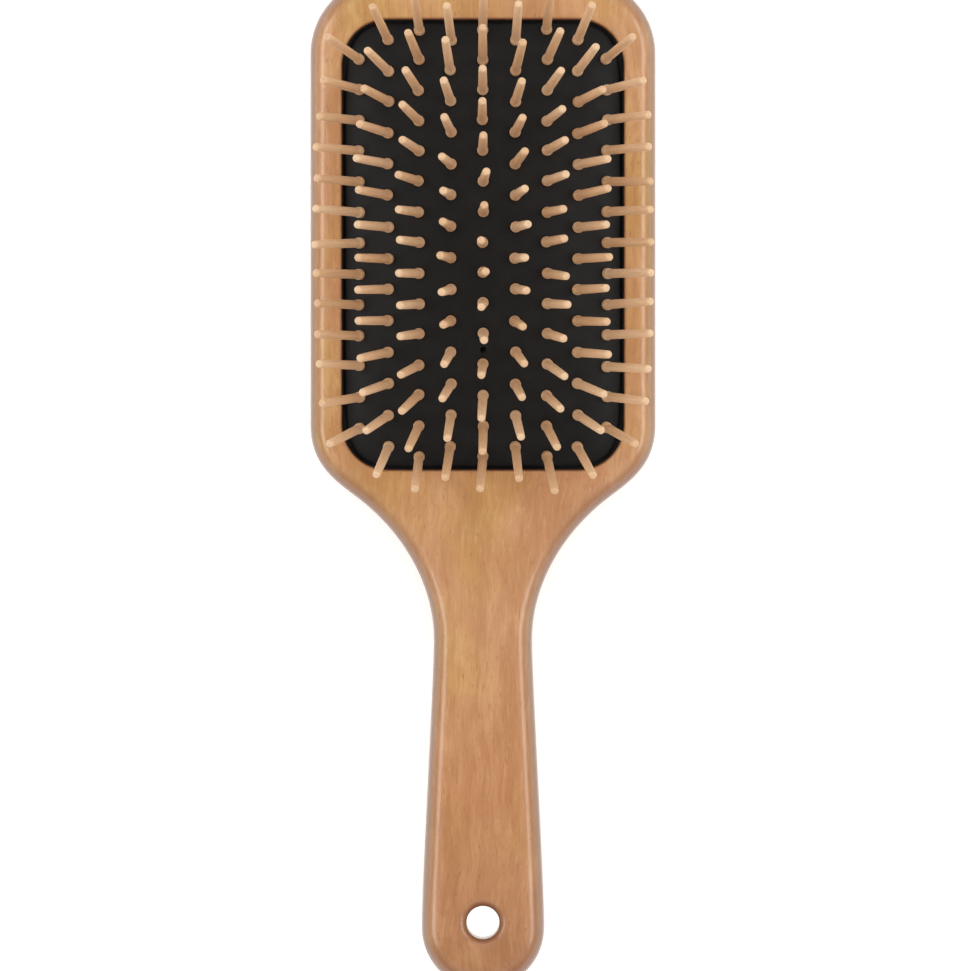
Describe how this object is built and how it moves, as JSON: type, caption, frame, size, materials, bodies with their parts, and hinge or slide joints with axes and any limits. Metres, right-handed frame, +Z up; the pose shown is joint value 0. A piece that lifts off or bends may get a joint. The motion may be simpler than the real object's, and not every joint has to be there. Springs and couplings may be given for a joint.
{
  "type": "paddle brush",
  "caption": "Wooden paddle hair brush with a rectangular head, a domed rubber air cushion set with staggered wooden pins, and a flat waisted handle with a hang hole.",
  "frame": {"origin": "centre of the brush's outline, on the flat back that it lies on", "axes": "+Y runs along the brush from the handle's end to the top of the head, +X across it to the right seen from the pin side, +Z up through the pins"},
  "size_m": [0.085, 0.2494, 0.044],
  "materials": {
    "body_wood": "satin clear lacquer over fine-grained light hardwood",
    "pin_wood": "smooth turned hardwood",
    "rubber": "matt moulded natural rubber"
  },
  "bodies": {
    "wooden_body": {"wooden_body": "body_wood"},
    "cushion": {"rubber_cushion": "rubber"},
    "pin_column_1": {"pins_1a": "pin_wood", "pins_1b": "pin_wood", "pins_1c": "pin_wood", "pins_1d": "pin_wood", "pins_1e": "pin_wood"},
    "pin_column_2": {"pins_2a": "pin_wood", "pins_2b": "pin_wood", "pins_2c": "pin_wood", "pins_2d": "pin_wood", "pins_2e": "pin_wood"},
    "pin_column_3": {"pins_3a": "pin_wood", "pins_3b": "pin_wood", "pins_3c": "pin_wood", "pins_3d": "pin_wood", "pins_3e": "pin_wood"},
    "pin_column_4": {"pins_4a": "pin_wood", "pins_4b": "pin_wood", "pins_4c": "pin_wood", "pins_4d": "pin_wood", "pins_4e": "pin_wood"},
    "pin_column_5": {"pins_5a": "pin_wood", "pins_5b": "pin_wood", "pins_5c": "pin_wood", "pins_5d": "pin_wood", "pins_5e": "pin_wood"},
    "pin_column_6": {"pins_6a": "pin_wood", "pins_6b": "pin_wood", "pins_6c": "pin_wood", "pins_6d": "pin_wood", "pins_6e": "pin_wood"},
    "pin_column_7": {"pins_7a": "pin_wood", "pins_7b": "pin_wood", "pins_7c": "pin_wood", "pins_7d": "pin_wood", "pins_7e": "pin_wood"},
    "pin_column_8": {"pins_8a": "pin_wood", "pins_8b": "pin_wood", "pins_8c": "pin_wood", "pins_8d": "pin_wood", "pins_8e": "pin_wood"},
    "pin_column_9": {"pins_9a": "pin_wood", "pins_9b": "pin_wood", "pins_9c": "pin_wood", "pins_9d": "pin_wood", "pins_9e": "pin_wood"}
  },
  "joints": [
    {"name": "cushion_press", "type": "slide", "parent": "wooden_body", "child": "cushion", "axis": [0, 0, -1], "range_m": [0, 0.003], "stiffness_N_per_m": 2500, "deforming": ["rubber_cushion"]},
    {"name": "pin_column_1_tilt", "type": "hinge", "parent": "cushion", "child": "pin_column_1", "pos_m": [-0.03019, 0.0585, 0.0156], "axis": [0, 1, 0], "range_deg": [-10, 10], "stiffness_Nm_per_rad": 0.8},
    {"name": "pin_column_2_tilt", "type": "hinge", "parent": "cushion", "child": "pin_column_2", "pos_m": [-0.0231, 0.0585, 0.0184], "axis": [0, 1, 0], "range_deg": [-10, 10], "stiffness_Nm_per_rad": 0.8},
    {"name": "pin_column_3_tilt", "type": "hinge", "parent": "cushion", "child": "pin_column_3", "pos_m": [-0.01562, 0.0585, 0.0197], "axis": [0, 1, 0], "range_deg": [-10, 10], "stiffness_Nm_per_rad": 0.8},
    {"name": "pin_column_4_tilt", "type": "hinge", "parent": "cushion", "child": "pin_column_4", "pos_m": [-0.00788, 0.0585, 0.0209], "axis": [0, 1, 0], "range_deg": [-10, 10], "stiffness_Nm_per_rad": 0.8},
    {"name": "pin_column_5_tilt", "type": "hinge", "parent": "cushion", "child": "pin_column_5", "pos_m": [0, 0.0585, 0.0208], "axis": [0, 1, 0], "range_deg": [-10, 10], "stiffness_Nm_per_rad": 0.8},
    {"name": "pin_column_6_tilt", "type": "hinge", "parent": "cushion", "child": "pin_column_6", "pos_m": [0.00788, 0.0585, 0.0209], "axis": [0, 1, 0], "range_deg": [-10, 10], "stiffness_Nm_per_rad": 0.8},
    {"name": "pin_column_7_tilt", "type": "hinge", "parent": "cushion", "child": "pin_column_7", "pos_m": [0.01562, 0.0585, 0.0197], "axis": [0, 1, 0], "range_deg": [-10, 10], "stiffness_Nm_per_rad": 0.8},
    {"name": "pin_column_8_tilt", "type": "hinge", "parent": "cushion", "child": "pin_column_8", "pos_m": [0.0231, 0.0585, 0.0184], "axis": [0, 1, 0], "range_deg": [-10, 10], "stiffness_Nm_per_rad": 0.8},
    {"name": "pin_column_9_tilt", "type": "hinge", "parent": "cushion", "child": "pin_column_9", "pos_m": [0.03019, 0.0585, 0.0156], "axis": [0, 1, 0], "range_deg": [-10, 10], "stiffness_Nm_per_rad": 0.8}
  ]
}
